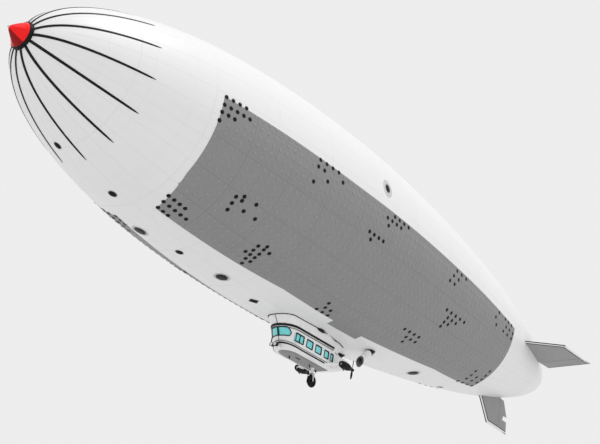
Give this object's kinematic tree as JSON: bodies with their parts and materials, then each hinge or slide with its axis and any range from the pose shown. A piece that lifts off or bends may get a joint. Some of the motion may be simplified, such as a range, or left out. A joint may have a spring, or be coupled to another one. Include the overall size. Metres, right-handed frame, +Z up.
{
  "type": "non-rigid passenger airship with light-sign panels, scale model at 1:2",
  "caption": "Half-size non-rigid airship: white fabric envelope, red nose cone, grey sign panels, cross tail fins with rudders and elevators, cabin with door, twin engines, castor wheel.",
  "frame": {"origin": "on the envelope's axis at its centre of lift, 13.3 m behind the envelope's nose, where the air holds the ship up", "axes": "+X to the nose, +Y to port, +Z up"},
  "size_m": [29.74, 7.08, 8.74],
  "materials": {
    "envelope_cloth": "coated cloth, satin",
    "sign_cloth": "matt coated cloth",
    "nose_paint": "gloss paint",
    "black_paint": "satin paint",
    "fin_paint": "satin paint over cloth",
    "cabin_paint": "gloss paint",
    "belly_paint": "satin paint",
    "window_glass": "tinted, clear",
    "tyre_rubber": "matt",
    "dull_metal": "satin",
    "seat_fabric": "woven"
  },
  "bodies": {
    "ship": {"air_scoop_port": "cabin_paint", "air_scoop_starboard": "cabin_paint", "bow_lamp": "black_paint", "cabin_fairing": "cabin_paint", "cabin_floor": "belly_paint", "cabin_nose": "cabin_paint", "cabin_side_port": "cabin_paint", "cabin_side_starboard": "cabin_paint", "cabin_tail": "cabin_paint", "cowling_port": "black_paint", "cowling_starboard": "black_paint", "engine_port": "dull_metal", "engine_starboard": "dull_metal", "envelope": "envelope_cloth", "fairing_vent_port": "black_paint", "fairing_vent_starboard": "black_paint", "fin_bottom": "fin_paint", "fin_port": "fin_paint", "fin_starboard": "fin_paint", "fin_top": "fin_paint", "gas_valve_1": "black_paint", "gas_valve_2": "black_paint", "gas_valve_3": "black_paint", "gas_valve_4": "black_paint", "gear_leg": "dull_metal", "instrument_panel": "black_paint", "lower_rail": "black_paint", "mooring_spindle": "dull_metal", "nose_battens": "black_paint", "nose_cone": "nose_paint", "outrigger_port": "cabin_paint", "outrigger_starboard": "cabin_paint", "seat_row_1": "seat_fabric", "seat_row_2": "seat_fabric", "seat_row_3": "seat_fabric", "seat_row_4": "seat_fabric", "side_glass_port": "window_glass", "side_glass_starboard_front": "window_glass", "side_glass_starboard_rear": "window_glass", "sign_panel_port": "sign_cloth", "sign_panel_starboard": "sign_cloth", "upper_rail": "black_paint", "windshield": "window_glass"},
    "rudder_top": {"rudder_top": "fin_paint"},
    "rudder_bottom": {"rudder_bottom": "fin_paint"},
    "elevator_port": {"elevator_port": "fin_paint"},
    "elevator_starboard": {"elevator_starboard": "fin_paint"},
    "cabin_door": {"cabin_door": "cabin_paint", "door_glass": "window_glass"},
    "castor": {"castor_fork": "dull_metal"},
    "wheel": {"wheel_rim": "black_paint", "tyre": "tyre_rubber"},
    "propeller_port": {"propeller_port": "black_paint"},
    "propeller_starboard": {"propeller_starboard": "black_paint"}
  },
  "joints": [
    {"name": "rudder_top_turn", "type": "hinge", "parent": "ship", "child": "rudder_top", "pos_m": [-13.28, 0, 2.163], "axis": [0, 0, 1], "range_deg": [-25, 25]},
    {"name": "rudder_bottom_turn", "type": "hinge", "parent": "ship", "child": "rudder_bottom", "pos_m": [-13.28, 0, -2.297], "axis": [0, 0, 1], "range_deg": [-25, 25]},
    {"name": "elevator_port_turn", "type": "hinge", "parent": "ship", "child": "elevator_port", "pos_m": [-13.5, 2.539, 0], "axis": [0, 1, 0], "range_deg": [-25, 25]},
    {"name": "elevator_starboard_turn", "type": "hinge", "parent": "ship", "child": "elevator_starboard", "pos_m": [-13.5, -2.539, 0], "axis": [0, 1, 0], "range_deg": [-25, 25]},
    {"name": "door_swing", "type": "hinge", "parent": "ship", "child": "cabin_door", "pos_m": [-0.43, -0.535, -4.185], "axis": [0, 0, 1], "range_deg": [0, 95]},
    {"name": "castor_turn", "type": "hinge", "parent": "ship", "child": "castor", "pos_m": [-1.145, 0, -4.6615], "axis": [0, 0, 1], "continuous": true},
    {"name": "wheel_spin", "type": "hinge", "parent": "castor", "child": "wheel", "pos_m": [-1.194, 0, -5.02], "axis": [0, 1, 0], "continuous": true},
    {"name": "propeller_port_spin", "type": "hinge", "parent": "ship", "child": "propeller_port", "pos_m": [-2.075, 0.97, -4.37], "axis": [1, 0, 0], "continuous": true},
    {"name": "propeller_starboard_spin", "type": "hinge", "parent": "ship", "child": "propeller_starboard", "pos_m": [-2.075, -0.97, -4.37], "axis": [1, 0, 0], "continuous": true}
  ]
}
